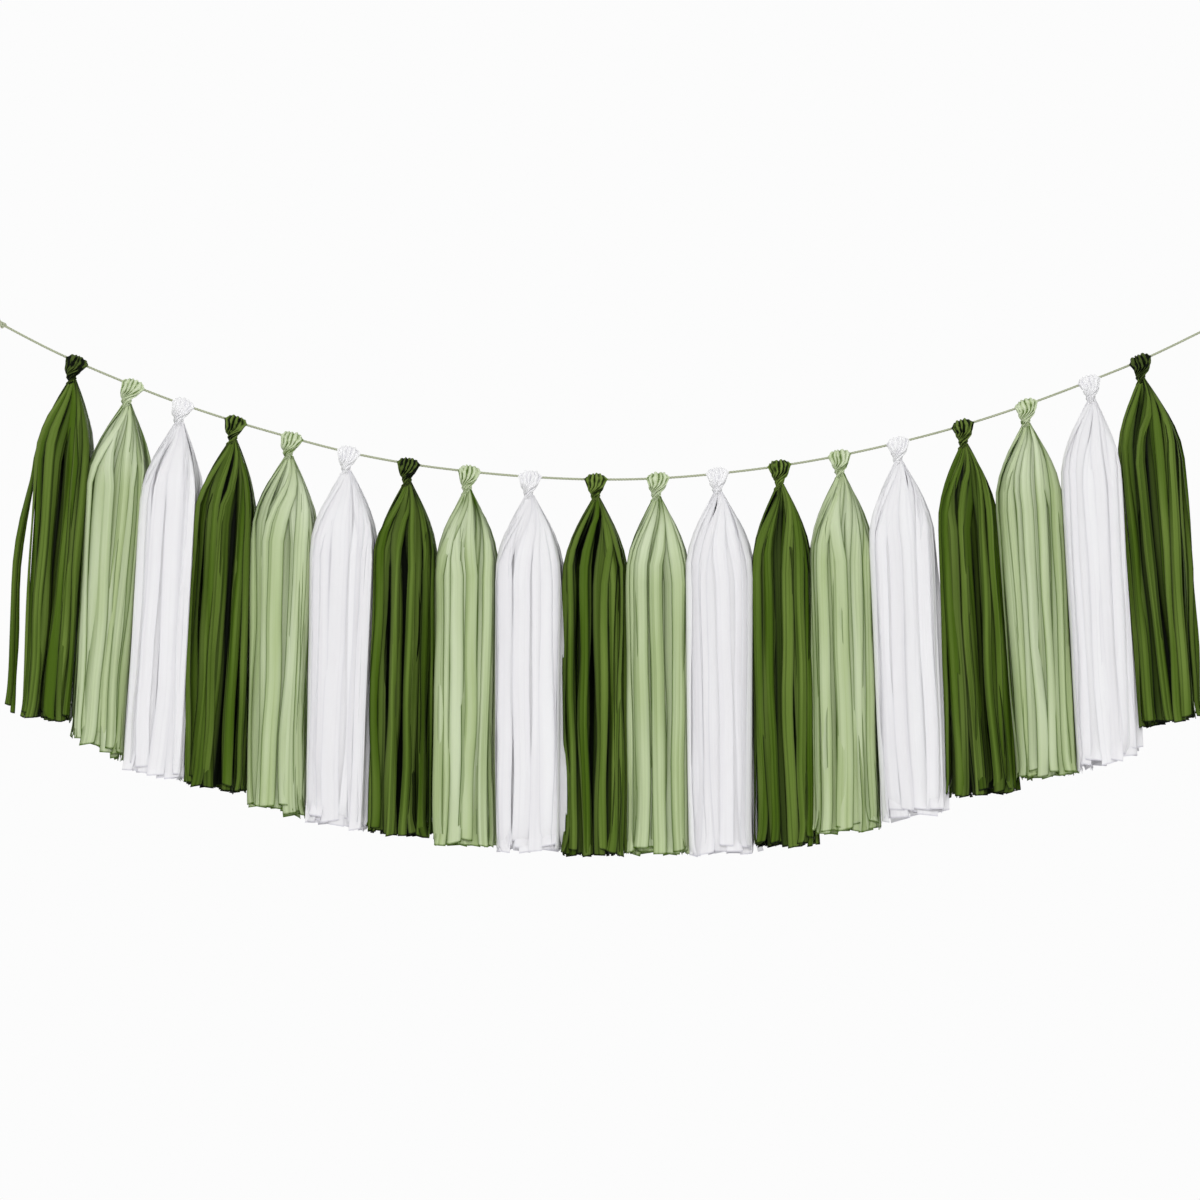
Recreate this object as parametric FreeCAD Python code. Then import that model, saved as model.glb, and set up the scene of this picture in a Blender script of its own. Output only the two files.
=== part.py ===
import FreeCAD, Part
import math
import os
from FreeCAD import Vector

# A garland of tissue paper tassels on one sagging string, hung by a small tied loop at each end.
# Millimetres. +X runs along the garland, +Y goes away from the viewer, +Z is up.
# The origin is the middle of the eye of the left end loop.

# ---- string -------------------------------------------------------------------------
STRING_DIAMETER = 2.2
BEND_SHARE = 0.45           # share of the shorter run that each bend of the string takes up

# The string from knot to knot, as (x, z). A tassel hangs at every point but the first two and
# the last two, which are a knot and a bend on the way to it.
ROUTE = [
    (11.5, -6.0), (44.0, -23.5),
    (79.0, -40.0), (131.5, -62.0), (177.5, -79.5), (225.0, -95.0), (277.5, -110.0),
    (329.0, -123.5), (384.5, -134.0), (440.0, -141.0), (496.5, -146.0), (556.5, -148.5),
    (614.0, -147.5), (669.0, -143.0), (726.0, -136.0), (781.0, -126.5), (835.0, -114.5),
    (894.0, -99.0), (952.5, -80.0), (1010.5, -58.0), (1058.0, -39.0),
    (1091.0, -23.5), (1121.0, -8.5),
]
FIRST_TASSEL_POINT = 2      # place in ROUTE of the leftmost tassel's point

# ---- end loops ----------------------------------------------------------------------
KNOT_DIAMETER = 6.4
EYE_DIAMETER = 14.0         # clear opening of the tied loop, for a hook or a nail
KNOT_BITE = 1.0             # how far the loop's two legs run into the knot
KNOT_SEAT_MARGIN = 0.3      # flat on the knot round the string's end

# ---- tassels ------------------------------------------------------------------------
COLOURS = ("dark_green", "light_green", "white")
# Degrees that each tassel leans away from straight down, + to the right.
LEANS = [-5.0, -5.0, -4.0, -4.0, -2.5, -2.5, -1.5, -1.0, 0.0, 0.0,
         0.5, 1.5, 1.5, 1.5, 3.0, 3.5, 3.5, 3.5, 5.5]
TASSEL_LENGTH = 342.0       # from the middle of the string down to the end of the longest strip
# How much longer than that each tassel is.
LENGTH_DIFFERENCES = [-12.0, -7.0, -1.0, -4.0, 1.0, 1.0, 0.0, 2.0, 2.0, 4.0,
                      3.0, 8.0, 8.0, 4.0, 2.0, -1.0, 1.0, 8.0, -8.0]
TASSEL_TURN_DEGREES = 41.0  # each tassel is turned this much against the one to its left

BORE_CLEARANCE = 0.3        # all round the string, where the paper is doubled over it
HEAD_WIDTH = 19.0           # along the string
HEAD_RISE = 8.0             # from the middle of the string to the top of the head
HEAD_DROOP = 3.0            # how much lower the head is at its two ends
PLEATS = 5                  # across the head
PLEAT_DEPTH = 1.2
NECK_DIAMETER = 8.4
NECK_TOP = 11.0             # from the middle of the string down to the neck
NECK_HEIGHT = 8.0
NECK_BULGE = 0.9            # how far the wrapped paper stands out halfway down the neck
HEAD_RUN_IN = 1.0           # how far the head's paper runs down into the neck
STRIP_RUN_IN = 3.0          # how far the strips run up into the neck

SHOULDER_DROP = 64.0        # from the middle of the string down to the skirt's full width
SHOULDER_ROUND = 45.0       # radius of the strips' bend there
SKIRT_GAP = 1.2             # room left between two tassels side by side

# Half a tissue sheet, cut from both ends into 25 strips, hangs as 50. They hang in rings, from the
# outside in: strips in the ring, and how far its wall lies inside the skirt's outer wall.
RINGS = [(17, 0.0), (14, 6.0), (11, 12.0), (8, 18.0)]
STRIP_THICKNESS = 0.6
NECK_SKIN = 0.4             # paper of the neck outside the outermost ring
NECK_CORE_RADIUS = 1.4      # outer radius of the innermost ring where it enters the neck
SLIT_DEGREES = 4.0          # open angle between two strips of a ring
RING_TURN_DEGREES = 8.0     # each ring is turned this much against the ring round it
TRIMS = [0.0, 7.0, 3.0, 11.0, 5.0]   # shortening of the strips, taken in turn round a ring
RING_TRIM = 3.0             # further shortening of each ring inside the first

X_AXIS = Vector(1, 0, 0)
Y_AXIS = Vector(0, 1, 0)
Z_AXIS = Vector(0, 0, 1)
ORIGIN = Vector(0, 0, 0)


def unit(vector):
    return vector * (1 / vector.Length)


def on_plane(x, z):
    return Vector(x, 0, z)


def half_turn(before, corner, after):
    return (corner - before).getAngle(after - corner) / 2


def rounded_corner(before, corner, after, radius):
    # The start, middle and end of an arc that rounds a corner off.
    arriving = unit(corner - before)
    leaving = unit(after - corner)
    inward = unit(leaving - arriving)
    turn = half_turn(before, corner, after)
    reach = radius * math.tan(turn)
    start = corner - arriving * reach
    middle = corner + inward * (radius / math.cos(turn) - radius)
    end = corner + leaving * reach
    return start, middle, end


# ---- string -------------------------------------------------------------------------
def string_bends():
    # Each bend's arc, with its radius and the direction of the string halfway round it.
    points = [on_plane(x, z) for x, z in ROUTE]
    bends = []
    for before, corner, after in zip(points, points[1:], points[2:]):
        shorter_run = min((corner - before).Length, (after - corner).Length)
        radius = BEND_SHARE * shorter_run / math.tan(half_turn(before, corner, after))
        start, middle, end = rounded_corner(before, corner, after, radius)
        bends.append({"start": start, "middle": middle, "end": end, "radius": radius,
                      "along": unit(end - start)})
    return bends


def knot_seat():
    # From a knot's middle to the flat where the string ends.
    flat_radius = STRING_DIAMETER / 2 + KNOT_SEAT_MARGIN
    return math.sqrt((KNOT_DIAMETER / 2) ** 2 - flat_radius ** 2)


def tube_along(edges):
    # A round cord of the string's thickness along joined edges, starting square to the first.
    start = edges[0].valueAt(edges[0].FirstParameter)
    direction = edges[0].tangentAt(edges[0].FirstParameter)
    ring = Part.Wire(Part.makeCircle(STRING_DIAMETER / 2, start, direction))
    return Part.Wire(edges).makePipeShell([ring], True, False)


def string(bends):
    first = on_plane(*ROUTE[0])
    last = on_plane(*ROUTE[-1])
    place = first + unit(bends[0]["start"] - first) * knot_seat()
    end = last + unit(bends[-1]["end"] - last) * knot_seat()
    edges = []
    for bend in bends:
        edges.append(Part.LineSegment(place, bend["start"]).toShape())
        edges.append(Part.Arc(bend["start"], bend["middle"], bend["end"]).toShape())
        place = bend["end"]
    edges.append(Part.LineSegment(place, end).toShape())
    tube = tube_along(edges)
    length = sum(edge.Length for edge in edges)
    section = math.pi * STRING_DIAMETER ** 2 / 4
    print("string bend radii", [round(bend["radius"]) for bend in bends])
    print("string length %.1f, volume %.1f, section x length %.1f"
          % (length, tube.Volume, section * length))
    return tube


# ---- end loops ----------------------------------------------------------------------
def end_loop(knot, eye, towards_string):
    # A loop tied in the string's end: two legs leave the knot and close round the eye.
    eye_reach = (eye - knot).Length
    away = unit(eye - knot)
    ring_radius = (EYE_DIAMETER + STRING_DIAMETER) / 2
    leg_angle = math.degrees(math.asin(ring_radius / eye_reach))
    leg_length = math.sqrt(eye_reach ** 2 - ring_radius ** 2)
    leg_start = KNOT_DIAMETER / 2 - KNOT_BITE
    upper = FreeCAD.Rotation(Y_AXIS, leg_angle).multVec(away)
    lower = FreeCAD.Rotation(Y_AXIS, -leg_angle).multVec(away)
    far_side = eye + away * ring_radius
    edges = [
        Part.LineSegment(knot + upper * leg_start, knot + upper * leg_length).toShape(),
        Part.Arc(knot + upper * leg_length, far_side, knot + lower * leg_length).toShape(),
        Part.LineSegment(knot + lower * leg_length, knot + lower * leg_start).toShape(),
    ]
    ball = Part.makeSphere(KNOT_DIAMETER / 2, knot)
    seat = Part.makeCylinder(KNOT_DIAMETER, KNOT_DIAMETER,
                             knot + towards_string * knot_seat(), towards_string)
    return ball.cut(seat).fuse(tube_along(edges)).removeSplitter()


# ---- tassels ------------------------------------------------------------------------
# A tassel is made hanging straight down from the origin, where the string runs through it, and
# is then leaned and moved to its place.
def pleat_edges(z, width_share, depth_share, side):
    # One face of the gathered paper at a height: a row of rounded pleats across the head.
    # side is 1 for the face away from the viewer and -1 for the near one.
    def reach(x):
        return HEAD_RISE - HEAD_DROOP * (2 * x / HEAD_WIDTH) ** 2

    def at(x, depth):
        return Vector(x * width_share, side * depth * depth_share, z)

    pitch = HEAD_WIDTH / PLEATS
    edges = []
    for pleat in range(PLEATS):
        low = -HEAD_WIDTH / 2 + pleat * pitch
        middle = low + pitch / 2
        high = low + pitch
        edges.append(Part.Arc(at(low, reach(low) - PLEAT_DEPTH), at(middle, reach(middle)),
                              at(high, reach(high) - PLEAT_DEPTH)).toShape())
    return edges


def row_ends(edges):
    return edges[0].Vertexes[0].Point, edges[-1].Vertexes[-1].Point


def closed_wire(edges, *corners):
    # A row of edges closed by straight lines through the corners, from its start to its end.
    start, end = row_ends(edges)
    stops = [start, *corners, end]
    lines = [Part.LineSegment(a, b).toShape() for a, b in zip(stops, stops[1:])]
    return Part.Wire(Part.__sortEdges__(edges + lines))


def head_outline(z, width_share, depth_share):
    # The head cut through level: pleats on both faces and a flat fold at each end.
    far_edges = pleat_edges(z, width_share, depth_share, 1)
    near_edges = pleat_edges(z, width_share, depth_share, -1)
    folds = [Part.LineSegment(far, near).toShape()
             for far, near in zip(row_ends(far_edges), row_ends(near_edges))]
    return Part.Wire(Part.__sortEdges__(far_edges + near_edges + folds))


def tassel_head():
    # Pleated paper doubled over the string, drawn in to the neck below.
    half_width = X_AXIS * (HEAD_WIDTH / 2)
    over_string = closed_wire(pleat_edges(0, 1, 1, 1), -half_width, half_width)
    top = Part.Face(over_string).revolve(ORIGIN, X_AXIS, 180)
    half_neck = NECK_DIAMETER / 2 - NECK_SKIN
    drawn_in = head_outline(-(NECK_TOP + HEAD_RUN_IN),
                            2 * half_neck / HEAD_WIDTH, half_neck / HEAD_RISE)
    sides = Part.makeLoft([head_outline(0, 1, 1), drawn_in], True, True)
    return top.fuse(sides)


def tassel_neck():
    # The twisted, wrapped waist: a short barrel.
    radius = NECK_DIAMETER / 2
    top = -NECK_TOP
    bottom = top - NECK_HEIGHT
    edges = [
        Part.LineSegment(on_plane(0, top), on_plane(radius, top)).toShape(),
        Part.Arc(on_plane(radius, top), on_plane(radius + NECK_BULGE, (top + bottom) / 2),
                 on_plane(radius, bottom)).toShape(),
        Part.LineSegment(on_plane(radius, bottom), on_plane(0, bottom)).toShape(),
        Part.LineSegment(on_plane(0, bottom), on_plane(0, top)).toShape(),
    ]
    return Part.Face(Part.Wire(edges)).revolve(ORIGIN, Z_AXIS, 360)


def bent_line(top, shoulder, hem, radius):
    start, middle, end = rounded_corner(top, shoulder, hem, radius)
    return [
        Part.LineSegment(top, start).toShape(),
        Part.Arc(start, middle, end).toShape(),
        Part.LineSegment(end, hem).toShape(),
    ]


def strip_section(top, shoulder, hem):
    # A strip cut through along its length: it slants out from the neck, bends at the shoulder
    # and falls to the hem. The inner face runs parallel to the outer one.
    slant = unit(shoulder - top)
    fall = unit(hem - shoulder)
    slant_in = on_plane(slant.z, -slant.x)
    fall_in = on_plane(fall.z, -fall.x)
    corner_in = (slant_in + fall_in) * (STRIP_THICKNESS / (1 + slant_in.dot(fall_in)))
    inner_top = top + slant_in * STRIP_THICKNESS
    inner_shoulder = shoulder + corner_in
    inner_hem = hem + fall_in * STRIP_THICKNESS
    edges = bent_line(top, shoulder, hem, SHOULDER_ROUND)
    edges.append(Part.LineSegment(hem, inner_hem).toShape())
    edges += bent_line(inner_top, inner_shoulder, inner_hem, SHOULDER_ROUND - STRIP_THICKNESS)
    edges.append(Part.LineSegment(inner_top, top).toShape())
    return Part.Face(Part.Wire(Part.__sortEdges__(edges)))


def strips(shoulder_radius, hem_radius, length, turn):
    solids = []
    top_drop = NECK_TOP + NECK_HEIGHT - STRIP_RUN_IN
    outermost = NECK_DIAMETER / 2 - NECK_SKIN
    for ring, (count, inset) in enumerate(RINGS):
        top_radius = outermost + (NECK_CORE_RADIUS - outermost) * ring / (len(RINGS) - 1)
        top = on_plane(top_radius, -top_drop)
        shoulder = on_plane(shoulder_radius - inset, -SHOULDER_DROP)
        pitch = 360 / count
        for place in range(count):
            trim = TRIMS[(place * 2 + ring) % len(TRIMS)] + ring * RING_TRIM
            fallen = (length - trim - SHOULDER_DROP) / (length - SHOULDER_DROP)
            full_hem = on_plane(hem_radius - inset, -length)
            hem = shoulder + (full_hem - shoulder) * fallen
            strip = strip_section(top, shoulder, hem).revolve(ORIGIN, Z_AXIS, pitch - SLIT_DEGREES)
            strip.rotate(ORIGIN, Z_AXIS, turn + place * pitch + ring * RING_TURN_DEGREES)
            solids.append(strip)
    return solids


def skirt_radius(index, hang_points, drop):
    # Half the room to the nearer neighbour, at this drop below the tassel's own string point.
    lean = math.radians(LEANS[index])
    level = hang_points[index].z - drop * math.cos(lean)
    room = []
    for other in (index - 1, index + 1):
        if 0 <= other < len(hang_points):
            axis_x = [hang_points[each].x
                      + (hang_points[each].z - level) * math.tan(math.radians(LEANS[each]))
                      for each in (index, other)]
            room.append(abs(axis_x[1] - axis_x[0]))
    return (min(room) * math.cos(lean) - SKIRT_GAP) / 2


def tassel(index, gathers, hang_points, string_direction):
    length = TASSEL_LENGTH + LENGTH_DIFFERENCES[index]
    shoulder_radius = skirt_radius(index, hang_points, SHOULDER_DROP)
    hem_radius = skirt_radius(index, hang_points, length)
    skirt = strips(shoulder_radius, hem_radius, length, index * TASSEL_TURN_DEGREES)
    paper = gathers.fuse(skirt)
    paper.rotate(ORIGIN, Y_AXIS, -LEANS[index])
    paper.translate(hang_points[index])
    bore = Part.makeCylinder(STRING_DIAMETER / 2 + BORE_CLEARANCE, 2 * HEAD_WIDTH,
                             hang_points[index] - string_direction * HEAD_WIDTH,
                             string_direction)
    return paper.cut(bore)


# ---- the whole garland --------------------------------------------------------------
def single_solid(shape, name):
    if len(shape.Solids) != 1:
        raise ValueError("%s should be one solid, not %d" % (name, len(shape.Solids)))
    return shape.Solids[0]


def main():
    os.makedirs("parts", exist_ok=True)
    bends = string_bends()
    tassel_bends = bends[FIRST_TASSEL_POINT - 1:1 - FIRST_TASSEL_POINT]
    hang_points = [bend["middle"] for bend in tassel_bends]
    left_knot, right_knot = on_plane(*ROUTE[0]), on_plane(*ROUTE[-1])
    out_of_left = unit(on_plane(*ROUTE[1]) - left_knot)
    out_of_right = unit(on_plane(*ROUTE[-2]) - right_knot)
    # The right eye is as far from its knot as the left one, whose middle is the origin.
    right_eye = right_knot - out_of_right * left_knot.Length
    pieces = {
        "string": string(bends),
        "left_end_loop": end_loop(left_knot, ORIGIN, out_of_left),
        "right_end_loop": end_loop(right_knot, right_eye, out_of_right),
    }
    gathers = tassel_head().fuse(tassel_neck())
    for index, bend in enumerate(tassel_bends):
        name = "tassel_%02d_%s" % (index + 1, COLOURS[index % len(COLOURS)])
        pieces[name] = tassel(index, gathers, hang_points, bend["along"])
    for name, shape in pieces.items():
        solid = single_solid(shape, name)
        solid.exportStep("parts/%s.step" % name)
        box = solid.BoundBox
        print("%-24s faces %4d volume %9.1f  x %.1f..%.1f  z %.1f..%.1f"
              % (name, len(solid.Faces), solid.Volume, box.XMin, box.XMax, box.ZMin, box.ZMax))
    print("middle of the right loop's eye %.2f %.2f %.2f" % tuple(right_eye))


main()
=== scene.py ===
import math
from functools import partial
import bpy
from mathutils import Matrix, Vector, noise


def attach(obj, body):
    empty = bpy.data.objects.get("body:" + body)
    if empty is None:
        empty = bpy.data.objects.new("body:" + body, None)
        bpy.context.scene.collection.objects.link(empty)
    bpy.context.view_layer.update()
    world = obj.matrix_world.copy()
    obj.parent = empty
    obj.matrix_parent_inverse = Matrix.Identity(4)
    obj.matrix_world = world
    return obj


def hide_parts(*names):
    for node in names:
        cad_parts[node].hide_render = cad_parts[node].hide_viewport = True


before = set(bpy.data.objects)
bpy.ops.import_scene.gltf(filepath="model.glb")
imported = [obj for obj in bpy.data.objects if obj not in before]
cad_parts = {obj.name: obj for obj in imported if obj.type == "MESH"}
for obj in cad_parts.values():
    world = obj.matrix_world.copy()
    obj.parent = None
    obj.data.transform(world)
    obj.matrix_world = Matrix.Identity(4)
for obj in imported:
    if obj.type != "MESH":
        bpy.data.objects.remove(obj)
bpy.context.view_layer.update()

scene = bpy.context.scene
# the nodes used most
maths = "ShaderNodeMath"
plus, minus, times, timesPlus, divide, power = (maths + " " + operation for operation in (
    "ADD", "SUBTRACT", "MULTIPLY", "MULTIPLY_ADD", "DIVIDE", "POWER"))
vectors = "ShaderNodeVectorMath"
mapRange = "ShaderNodeMapRange"
mix = "ShaderNodeMix"
store = "GeometryNodeStoreNamedAttribute"


def linearColour(text):
    # "#rrggbb" as a painter would pick it, turned to the linear values that nodes take
    shares = [int(text[at:at + 2], 16) / 255 for at in (1, 3, 5)]
    return (*[s / 12.92 if s <= 0.04045 else ((s + 0.055) / 1.055) ** 2.4 for s in shares], 1)


def addNode(tree, kind, inputs=(), **settings):
    # kind: the node's type, with its operation after a space
    # inputs: a list for the sockets in use, in order, or a dictionary by socket name;
    # each is a value, a socket, or a node whose first output in use is meant
    kind, *operation = kind.split()
    node = tree.nodes.new(kind)
    for name, value in (*settings.items(), *zip(["operation"], operation)):
        setattr(node, name, value)
    if isinstance(inputs, dict):
        pairs = [(node.inputs[name], given) for name, given in inputs.items()]
    else:
        pairs = zip([socket for socket in node.inputs if socket.enabled], inputs)
    for socket, given in pairs:
        if isinstance(given, bpy.types.Node):
            given = next(output for output in given.outputs if output.enabled)
        if isinstance(given, bpy.types.NodeSocket):
            tree.links.new(given, socket)
        elif given is not None:
            socket.default_value = given
    return node


def clearedNodes(owner):
    # empties a material's or a world's own nodes and gives back what adds one to them
    owner.use_nodes = True
    owner.node_tree.nodes.clear()
    return partial(addNode, owner.node_tree)


def smoothMesh(name, vertices, faces, mapped, marks):
    # mapped: where each vertex lies on its material, in metres; marks: named values for each
    mesh = bpy.data.meshes.new(name)
    mesh.from_pydata(vertices, [], faces)
    layer = mesh.uv_layers.new(name="UVMap")
    for loop in mesh.loops:
        layer.data[loop.index].uv = mapped[loop.vertex_index]
    for mark, values in marks.items():
        mesh.attributes.new(mark, "FLOAT", "POINT").data.foreach_set("value", values)
    mesh.shade_smooth()
    return mesh


def newPiece(name, mesh, material):
    piece = bpy.data.objects.new(name, mesh)
    scene.collection.objects.link(piece)
    mesh.materials.append(material)
    return piece


def smoothStep(low, high, value):
    share = min(1, max(0, (value - low) / (high - low)))
    return share * share * (3 - 2 * share)


def between(low, high, share):
    return low + (high - low) * share


# camera: square on, at the height of the garland's middle
cameraSizes = {"place": (0.5607, -5.0, -0.259), "lens": 163.04, "sensor": 36.0}
camera = bpy.data.objects.new("camera", bpy.data.cameras.new("camera"))
camera.location = cameraSizes["place"]
camera.rotation_euler = (math.radians(90), 0, 0)
camera.data.lens = cameraSizes["lens"]
camera.data.sensor_width = cameraSizes["sensor"]
camera.data.clip_end = 60
scene.collection.objects.link(camera)
scene.camera = camera
print("camera set")


# materials
twineLook = {
    "fibres": (0.0003, 0.002),  # apart across and long; drawn wider than the real 0.15 mm, to show
    "dyes": ("#9ca387", "#bfc4ab"),
    # the colour of the painted shade in the groove between the plies
    "grooveShade": "#7b8166",
}


def cottonCord():
    # Cotton bakery twine, three plies twisted and dyed sage: matt, a little hairy, with painted
    # shade in the groove between the plies and a fibre grain that runs with the twist.
    material = bpy.data.materials.new("twisted_cotton_twine_sage")
    add = clearedNodes(material)
    strand = add("ShaderNodeUVMap", uv_map="UVMap")
    apart, long = twineLook["fibres"]
    spaced = add("ShaderNodeMapping", {"Vector": strand, "Scale": (1 / apart, 1 / long, 1)})
    noises = add("ShaderNodeTexNoise", [spaced, 1.0, 3.0, 0.6], noise_dimensions="2D")
    fibres = noises.outputs["Fac"]
    # painted shade, strongest in the groove between the plies, read from the mesh
    depth = add("ShaderNodeAttribute", attribute_name="grooveShade").outputs["Fac"]
    plain = add(mix, [fibres, *map(linearColour, twineLook["dyes"])], data_type="RGBA")
    grooveShade = linearColour(twineLook["grooveShade"])
    shaded = add(mix, [depth, plain.outputs[2], grooveShade], data_type="RGBA")
    relief = add("ShaderNodeBump", {"Strength": 0.5, "Distance": 0.00015, "Height": fibres})
    cotton = add("ShaderNodeBsdfPrincipled", {
        "Base Color": shaded.outputs[2], "Roughness": 0.9, "IOR": 1.5, "Specular IOR Level": 0.2,
        "Sheen Weight": 0.15, "Sheen Roughness": 0.5, "Normal": relief})
    add("ShaderNodeOutputMaterial", [cotton])
    return material


paperLook = {
    # width across and length down the strip, and the noise's detail and roughness
    "patterns": {"creases": (0.0026, 0.5, 1.0, 0.55), "grain": (0.0005, 0.004, 3.0, 0.6),
                 "clouds": (0.012, 0.12, 1.0, 0.5)},
    "middling": (0.3, 0.7),  # the part of a noise's range that changes the tone
    "tones": {"creases": 0.12, "clouds": 0.2},  # the clouds lighten or darken the dye at random; the creases are painted light on their ridges and painted shade in their hollows
    "paintedCreaseShade": (0.44, 0.30),  # where in the creases the lines of painted shade begin and are full
    "hem": (0.82, 1.0),  # the last 2 mm before a cut end curls a little, and is drawn darker there as painted shade
    "hemDark": 0.95,
    "grainShare": 0.25,  # of the grain in the relief, beside the creases
}


def tissuePaper(name, shades, deep, glow, openness, lined):
    # Machine-glazed tissue paper, 18 g/m2, cut in strips: thin enough to glow where light comes
    # through from behind, soft in its shine, with fine lengthwise creases from being twisted.
    # shades: the darker and lighter dye, mixed by a tone that holds painted light too; deep: the
    # colour of the painted shade; glow: what comes through one, and openness how much of the light
    # does; lined: how dark the painted shade in the creases goes
    look = paperLook
    material = bpy.data.materials.new(name)
    add = clearedNodes(material)
    sheet = add("ShaderNodeUVMap", uv_map="UVMap")
    patterns = {}
    for pattern, (apart, long, detail, roughness) in look["patterns"].items():
        spaced = add("ShaderNodeMapping", {"Vector": sheet, "Scale": (1 / apart, 1 / long, 1)})
        noises = add("ShaderNodeTexNoise", [spaced, 1.0, detail, roughness], noise_dimensions="2D")
        patterns[pattern] = noises.outputs["Fac"]
    tint, dense, hem = (add("ShaderNodeAttribute", attribute_name=mark).outputs["Fac"]
                        for mark in ("tint", "dense", "hem"))
    # the creases add painted light on their ridges and painted shade in their hollows; the clouds
    # vary the tone at random
    tones = add(plus, [add(mapRange, [patterns[pattern], *look["middling"], -strength, strength])
                       for pattern, strength in look["tones"].items()])
    tone = add(plus, [tint, tones], use_clamp=True)
    dye = add(mix, [tone, *map(linearColour, shades)], data_type="RGBA")
    # painted shade: lines in the creases, the cut end and the shade stored on the mesh darken the
    # dye towards the deep colour
    lines = add(mapRange, [patterns["creases"], *look["paintedCreaseShade"], 0.0, lined])
    paintedHemShade = add(mapRange, [hem, *look["hem"], 0.0, look["hemDark"]])
    drawn = add(plus, [lines, paintedHemShade])
    darkness = add(plus, [dense, drawn], use_clamp=True)
    pressed = add(mix, [darkness, dye.outputs[2], linearColour(deep)], data_type="RGBA")
    heights = add(timesPlus, [patterns["grain"], look["grainShare"], patterns["creases"]])
    relief = add("ShaderNodeBump", {"Strength": 0.35, "Distance": 0.0006, "Height": heights})
    paper = add("ShaderNodeBsdfPrincipled", {
        "Base Color": pressed.outputs[2], "Roughness": 0.6, "IOR": 1.45, "Specular IOR Level": 0.08,
        "Sheen Weight": 0.02, "Sheen Roughness": 0.4, "Normal": relief})
    through = add("ShaderNodeBsdfTranslucent", {"Color": linearColour(glow), "Normal": relief})
    sheetLight = add("ShaderNodeMixShader", [openness, paper, through])
    add("ShaderNodeOutputMaterial", [sheetLight])
    return material


twine = cottonCord()
# each paper's deep colour is the colour of its painted shade
tissues = {
    "dark_green": tissuePaper("tissue_paper_dark_green", shades=("#466013", "#758b41"),
                              deep="#060b02", glow="#4f7c12", openness=0.12, lined=0.35),
    "light_green": tissuePaper("tissue_paper_light_green", shades=("#b9c996", "#dde7c8"),
                               deep="#44600c", glow="#c8dba4", openness=0.25, lined=0.22),
    "white": tissuePaper("tissue_paper_white", shades=("#f3f2f4", "#fafafb"),
                         deep="#cfced6", glow="#fbfbfb", openness=0.30, lined=0.10),
}
print("materials made")


# the string and the loops tied in its ends
stringSizes = {
    "diameter": 0.0022,
    "plies": 3,
    "layLength": 0.0085,  # one turn of the twist
    "route": [(11.5, -6.0), (44.0, -23.5), (79.0, -40.0), (131.5, -62.0), (177.5, -79.5),
              (225.0, -95.0), (277.5, -110.0), (329.0, -123.5), (384.5, -134.0), (440.0, -141.0),
              (496.5, -146.0), (556.5, -148.5), (614.0, -147.5), (669.0, -143.0), (726.0, -136.0),
              (781.0, -126.5), (835.0, -114.5), (894.0, -99.0), (952.5, -80.0), (1010.5, -58.0),
              (1058.0, -39.0), (1091.0, -23.5), (1121.0, -8.5)],  # millimetres, across and up
    "firstTassel": 2,  # place in the route of the first tassel's point
    "around": 18,
    "step": 0.0011,  # along the cord
    "grooved": (0.74, 1.02),  # share of the half width in a groove and on a ply
    "endDome": 0.6,  # how far a cut end is rounded out, against its half width
}


def splinePoints(name, corners, closed=False):
    # points read from a smooth NURBS line led by the corners
    curve = bpy.data.curves.new(name, "CURVE")
    curve.dimensions = "3D"
    curve.resolution_u = 24
    spline = curve.splines.new("NURBS")
    spline.points.add(len(corners) - 1)
    for point, corner in zip(spline.points, corners):
        point.co = (*corner, 1)
    spline.order_u = 3
    spline.use_cyclic_u, spline.use_endpoint_u = closed, not closed
    line = bpy.data.objects.new(name, curve)
    scene.collection.objects.link(line)
    bpy.context.view_layer.update()
    mesh = bpy.data.meshes.new_from_object(line)
    points = [vertex.co.copy() for vertex in mesh.vertices]
    bpy.data.objects.remove(line)
    bpy.data.meshes.remove(mesh)
    return points


def evenly(points, step, closed=False):
    # the same line with its points a step apart
    if closed:
        points = points + points[:1]
    lengths = [0.0]
    for before, after in zip(points, points[1:]):
        lengths.append(lengths[-1] + (after - before).length)
    count = max(2, round(lengths[-1] / step))
    spaced, at = [], 0
    for number in range(count if closed else count + 1):
        wanted = lengths[-1] * number / count
        while at < len(points) - 2 and lengths[at + 1] < wanted:
            at += 1
        share = (wanted - lengths[at]) / max(1e-9, lengths[at + 1] - lengths[at])
        spaced.append(points[at].lerp(points[at + 1], min(1, share)))
    return spaced, lengths[-1]


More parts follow.
